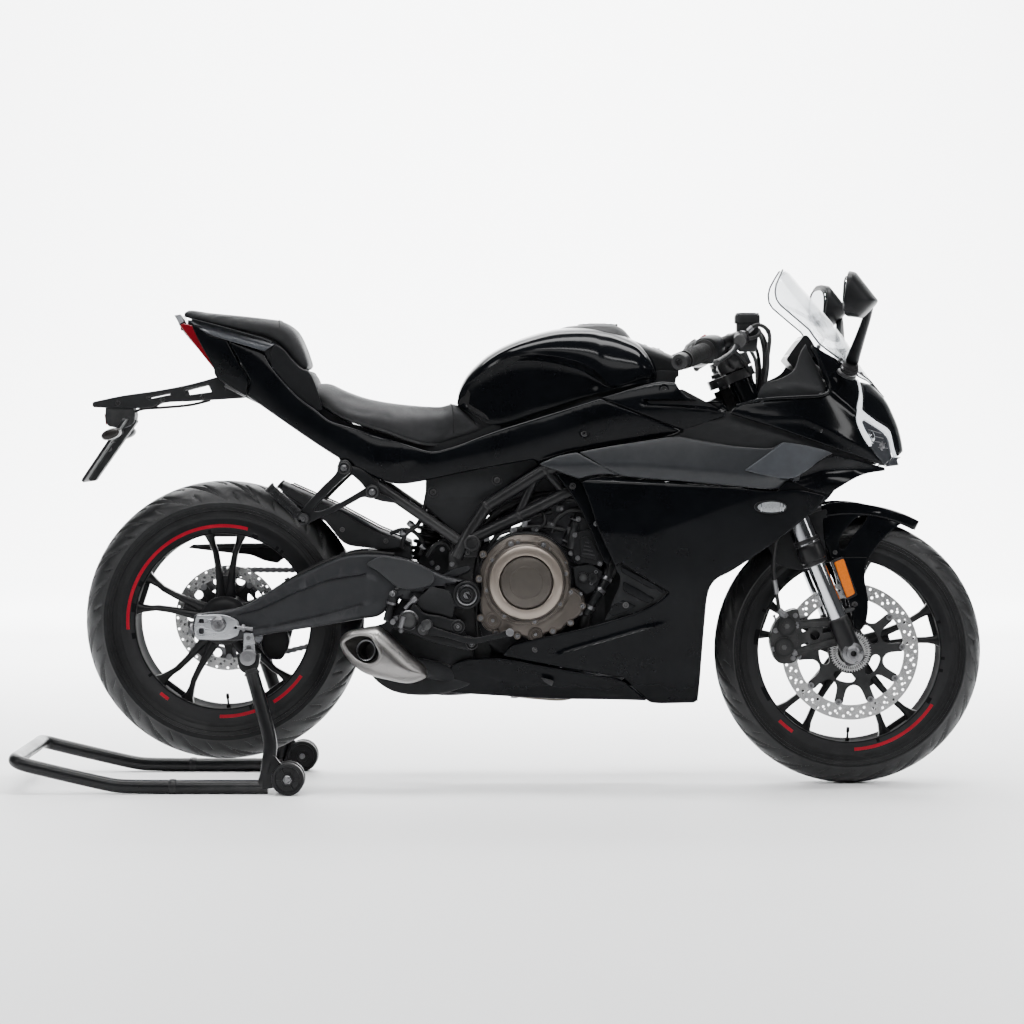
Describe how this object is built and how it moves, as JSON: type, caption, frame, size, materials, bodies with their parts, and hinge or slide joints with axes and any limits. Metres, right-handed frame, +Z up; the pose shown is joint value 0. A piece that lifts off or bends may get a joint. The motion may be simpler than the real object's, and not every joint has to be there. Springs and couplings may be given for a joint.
{
  "type": "sport bike on a rear paddock stand",
  "caption": "Fully faired road sport motorcycle held upright by a tubular rear paddock stand; steers, rolls, and has a side stand and fuel lid.",
  "frame": {"origin": "centre of the bounding box footprint, on the ground", "axes": "+X forward, +Y to the left, +Z up"},
  "size_m": [2.112, 0.736, 1.12],
  "materials": {
    "alloy": "satin",
    "arm_grey": "satin",
    "bronze": "satin",
    "clear": "clear",
    "engine_black": "satin",
    "frame_black": "satin",
    "gloss_black": "gloss",
    "lamp": "clear",
    "matte_black": "matte",
    "red_lens": "gloss",
    "rubber": "matte",
    "satin_grey": "satin",
    "screen_black": "gloss",
    "seat": "satin",
    "steel": "brushed",
    "tyre": "matte"
  },
  "bodies": {
    "chassis": {"belly_pan": "matte_black", "chain_guard": "matte_black", "drive_chain": "steel", "engine_block": "engine_black", "engine_covers": "bronze", "exhaust_headers": "steel", "foot_controls": "alloy", "footpegs": "frame_black", "frame": "frame_black", "front_indicators": "lamp", "fuel_tank": "gloss_black", "headlight": "lamp", "hugger": "matte_black", "instrument_panel": "screen_black", "mid_panels": "satin_grey", "mirrors": "matte_black", "paddock_stand": "frame_black", "pillion_seat": "seat", "plate_bracket": "matte_black", "radiator": "engine_black", "rear_axle": "steel", "rear_caliper": "frame_black", "rear_indicators": "matte_black", "rear_subframe": "frame_black", "rider_seat": "seat", "shock_absorber": "frame_black", "side_fairings": "gloss_black", "side_panels": "gloss_black", "silencer": "steel", "swingarm": "arm_grey", "tail_cowl": "satin_grey", "tail_light": "red_lens", "under_seat_covers": "matte_black", "upper_cowl": "gloss_black", "windscreen": "clear"},
    "steering": {"steering_clamps": "frame_black", "fork_legs": "frame_black", "front_axle": "steel", "handlebars": "matte_black", "hand_controls": "matte_black", "front_fender": "gloss_black", "front_caliper": "frame_black", "front_brake_hose": "rubber"},
    "front_wheel": {"front_rim": "gloss_black", "front_tyre": "tyre", "front_brake_disc": "steel"},
    "rear_wheel": {"rear_rim": "gloss_black", "rear_tyre": "tyre", "rear_brake_disc": "steel", "rear_sprocket": "steel"},
    "fuel_lid": {"fuel_cap": "alloy"},
    "kickstand": {"side_stand": "frame_black"},
    "roller_right": {"stand_roller_right": "rubber"},
    "roller_left": {"stand_roller_left": "rubber"}
  },
  "joints": [
    {"name": "steering", "type": "hinge", "parent": "chassis", "child": "steering", "pos_m": [0.5266, 0, 0.79051], "axis": [-0.3794, 0, 0.9253], "range_deg": [-29, 29]},
    {"name": "front_wheel_spin", "type": "hinge", "parent": "steering", "child": "front_wheel", "pos_m": [0.763, 0, 0.293], "axis": [0, 1, 0], "continuous": true},
    {"name": "rear_wheel_spin", "type": "hinge", "parent": "chassis", "child": "rear_wheel", "pos_m": [-0.607, 0, 0.359], "axis": [0, 1, 0], "continuous": true},
    {"name": "side_stand_swing", "type": "hinge", "parent": "chassis", "child": "kickstand", "pos_m": [-0.066, 0.148, 0.244], "axis": [-0.099, -0.8744, -0.4751], "range_deg": [0, 102]},
    {"name": "fuel_lid_hinge", "type": "hinge", "parent": "chassis", "child": "fuel_lid", "pos_m": [0.254, 0, 1.007], "axis": [0, 1, 0], "range_deg": [0, 95]},
    {"name": "roller_right_spin", "type": "hinge", "parent": "chassis", "child": "roller_right", "pos_m": [-0.452, -0.225, 0.035], "axis": [0, 1, 0], "continuous": true},
    {"name": "roller_left_spin", "type": "hinge", "parent": "chassis", "child": "roller_left", "pos_m": [-0.452, 0.225, 0.035], "axis": [0, 1, 0], "continuous": true}
  ]
}
